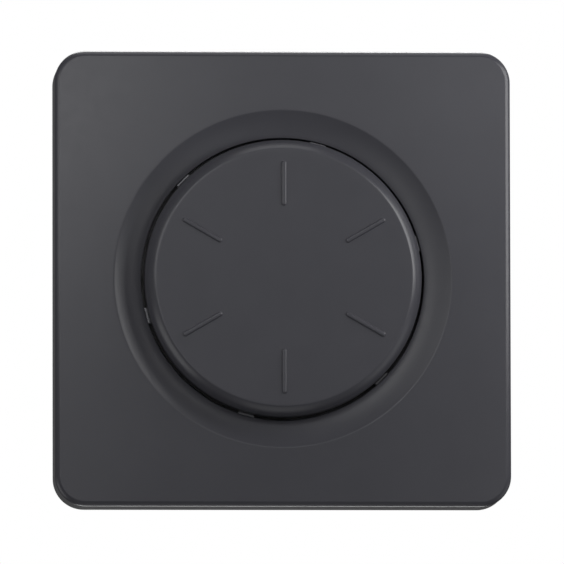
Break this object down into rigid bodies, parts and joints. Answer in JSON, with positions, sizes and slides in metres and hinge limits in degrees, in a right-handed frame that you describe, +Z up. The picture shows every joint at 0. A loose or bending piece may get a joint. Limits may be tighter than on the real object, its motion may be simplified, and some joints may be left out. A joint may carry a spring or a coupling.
{
  "type": "rotary dimmer switch",
  "caption": "Square flush-mounting rotary dimmer with a dished well, a large round ridged knob, a steel support plate, spreading claws and a wall-box module.",
  "frame": {"origin": "centre of the wall plane, where the support plate's back and the cover frame's rim meet the wall", "axes": "+Z up, +X to the right seen from the room, +Y into the wall; the front faces -Y"},
  "size_m": [0.081, 0.0403, 0.081],
  "materials": {
    "anthracite_plastic": "moulded, fine matt texture",
    "black_plastic": "moulded, satin",
    "grey_plastic": "moulded, satin",
    "white_plastic": "moulded acetal, satin",
    "zinc_steel": "zinc plated",
    "spring_steel": "bright rolled strip",
    "aluminium_sheet": "mill finish",
    "brass_parts": "turned and stamped",
    "copper_parts": "copper strip and enamelled wire",
    "ferrite": "sintered iron powder",
    "board_laminate": "glass-fibre laminate",
    "carbon_laminate": "laminate with a printed carbon track",
    "red_epoxy": "potted film capacitor",
    "blue_epoxy": "dipped disc",
    "resistor_lacquer": "lacquer",
    "capacitor_sleeve": "shrunk sleeve on an aluminium can"
  },
  "bodies": {
    "root": {"cover_frame": "anthracite_plastic", "centre_plate": "black_plastic", "potentiometer_body": "black_plastic", "switch_base": "black_plastic", "control_chip": "black_plastic", "trimmer_body": "black_plastic", "triac": "black_plastic", "module_lid": "grey_plastic", "module_housing": "grey_plastic", "bush_nut": "zinc_steel", "support_plate": "zinc_steel", "module_screw_1": "zinc_steel", "module_screw_2": "zinc_steel", "triac_screw": "zinc_steel", "retaining_ring": "spring_steel", "lock_washer": "spring_steel", "return_spring": "spring_steel", "heat_spreader": "aluminium_sheet", "threaded_bush": "brass_parts", "terminal_tab_1": "brass_parts", "terminal_tab_2": "brass_parts", "terminal_tab_3": "brass_parts", "fixed_contact": "copper_parts", "choke_winding": "copper_parts", "choke_core": "ferrite", "circuit_board": "board_laminate", "track_wafer": "carbon_laminate", "film_capacitor": "red_epoxy", "varistor": "blue_epoxy", "resistor_1": "resistor_lacquer", "resistor_2": "resistor_lacquer", "electrolytic_capacitor": "capacitor_sleeve"},
    "rotor": {"wiper_rotor": "white_plastic", "wiper_contact": "brass_parts"},
    "knob": {"knob_cap": "anthracite_plastic", "knob_hub_clip": "spring_steel", "control_shaft": "white_plastic"},
    "plunger": {"switch_plunger": "white_plastic"},
    "blade": {"contact_blade": "copper_parts"},
    "trimmer": {"trimmer_rotor": "white_plastic"},
    "claw_screw_left": {"claw_screw_left": "zinc_steel"},
    "claw_nut_left": {"claw_nut_left": "zinc_steel"},
    "claw_left": {"claw_left": "zinc_steel"},
    "claw_screw_right": {"claw_screw_right": "zinc_steel"},
    "claw_nut_right": {"claw_nut_right": "zinc_steel"},
    "claw_right": {"claw_right": "zinc_steel"},
    "terminal_screw_1": {"terminal_screw_1": "zinc_steel"},
    "terminal_cage_1": {"terminal_cage_1": "zinc_steel"},
    "terminal_screw_2": {"terminal_screw_2": "zinc_steel"},
    "terminal_cage_2": {"terminal_cage_2": "zinc_steel"},
    "terminal_screw_3": {"terminal_screw_3": "zinc_steel"},
    "terminal_cage_3": {"terminal_cage_3": "zinc_steel"}
  },
  "joints": [
    {"name": "knob_turn", "type": "hinge", "parent": "root", "child": "rotor", "pos_m": [0, 0, 0], "axis": [0, 1, 0], "range_deg": [0, 290]},
    {"name": "knob_push", "type": "slide", "parent": "rotor", "child": "knob", "axis": [0, 1, 0], "range_m": [0, 0.0012], "stiffness_N_per_m": 1500, "springref_m": -0.0015},
    {"name": "plunger_push", "type": "slide", "parent": "root", "child": "plunger", "axis": [0, 1, 0], "range_m": [0, 0.0012], "deforming": ["return_spring"]},
    {"name": "blade_swing", "type": "hinge", "parent": "root", "child": "blade", "pos_m": [0, 0.015, -0.0042], "axis": [-1, 0, 0], "range_deg": [0, 16.1]},
    {"name": "claw_screw_left_turn", "type": "hinge", "parent": "root", "child": "claw_screw_left", "pos_m": [-0.0244, 0, 0], "axis": [0, 1, 0], "range_deg": [0, 4320]},
    {"name": "claw_nut_left_slide", "type": "slide", "parent": "root", "child": "claw_nut_left", "axis": [0, -1, 0], "range_m": [0, 0.006]},
    {"name": "claw_left_swing", "type": "hinge", "parent": "root", "child": "claw_left", "pos_m": [-0.0271, 0.0014, 0], "axis": [0, 0, 1], "range_deg": [0, 28.1]},
    {"name": "claw_screw_right_turn", "type": "hinge", "parent": "root", "child": "claw_screw_right", "pos_m": [0.0244, 0, 0], "axis": [0, 1, 0], "range_deg": [0, 4320]},
    {"name": "claw_nut_right_slide", "type": "slide", "parent": "root", "child": "claw_nut_right", "axis": [0, -1, 0], "range_m": [0, 0.006]},
    {"name": "claw_right_swing", "type": "hinge", "parent": "root", "child": "claw_right", "pos_m": [0.0271, 0.0014, 0], "axis": [0, 0, -1], "range_deg": [0, 28.1]},
    {"name": "trimmer_turn", "type": "hinge", "parent": "root", "child": "trimmer", "pos_m": [-0.0145, 0, 0.0083], "axis": [0, 1, 0], "range_deg": [0, 270]},
    {"name": "terminal_screw_1_turn", "type": "hinge", "parent": "root", "child": "terminal_screw_1", "pos_m": [-0.0082, 0.017, 0], "axis": [0, 0, 1], "range_deg": [0, 2160]},
    {"name": "terminal_cage_1_slide", "type": "slide", "parent": "root", "child": "terminal_cage_1", "axis": [0, 0, -1], "range_m": [0, 0.003]},
    {"name": "terminal_screw_2_turn", "type": "hinge", "parent": "root", "child": "terminal_screw_2", "pos_m": [0, 0.017, 0], "axis": [0, 0, 1], "range_deg": [0, 2160]},
    {"name": "terminal_cage_2_slide", "type": "slide", "parent": "root", "child": "terminal_cage_2", "axis": [0, 0, -1], "range_m": [0, 0.003]},
    {"name": "terminal_screw_3_turn", "type": "hinge", "parent": "root", "child": "terminal_screw_3", "pos_m": [0.0082, 0.017, 0], "axis": [0, 0, 1], "range_deg": [0, 2160]},
    {"name": "terminal_cage_3_slide", "type": "slide", "parent": "root", "child": "terminal_cage_3", "axis": [0, 0, -1], "range_m": [0, 0.003]}
  ],
  "couplings": [
    {"joint": "plunger_push", "follows": "knob_push", "ratio": 1},
    {"joint": "blade_swing", "follows": "knob_push", "rad_per_m": 232.7},
    {"joint": "claw_screw_left_turn", "follows": "claw_nut_left_slide", "rad_per_m": 12566},
    {"joint": "claw_left_swing", "follows": "claw_nut_left_slide", "rad_per_m": 81.4},
    {"joint": "claw_screw_right_turn", "follows": "claw_nut_right_slide", "rad_per_m": 12566},
    {"joint": "claw_right_swing", "follows": "claw_nut_right_slide", "rad_per_m": 81.4},
    {"joint": "terminal_screw_1_turn", "follows": "terminal_cage_1_slide", "rad_per_m": 12566},
    {"joint": "terminal_screw_2_turn", "follows": "terminal_cage_2_slide", "rad_per_m": 12566},
    {"joint": "terminal_screw_3_turn", "follows": "terminal_cage_3_slide", "rad_per_m": 12566}
  ]
}
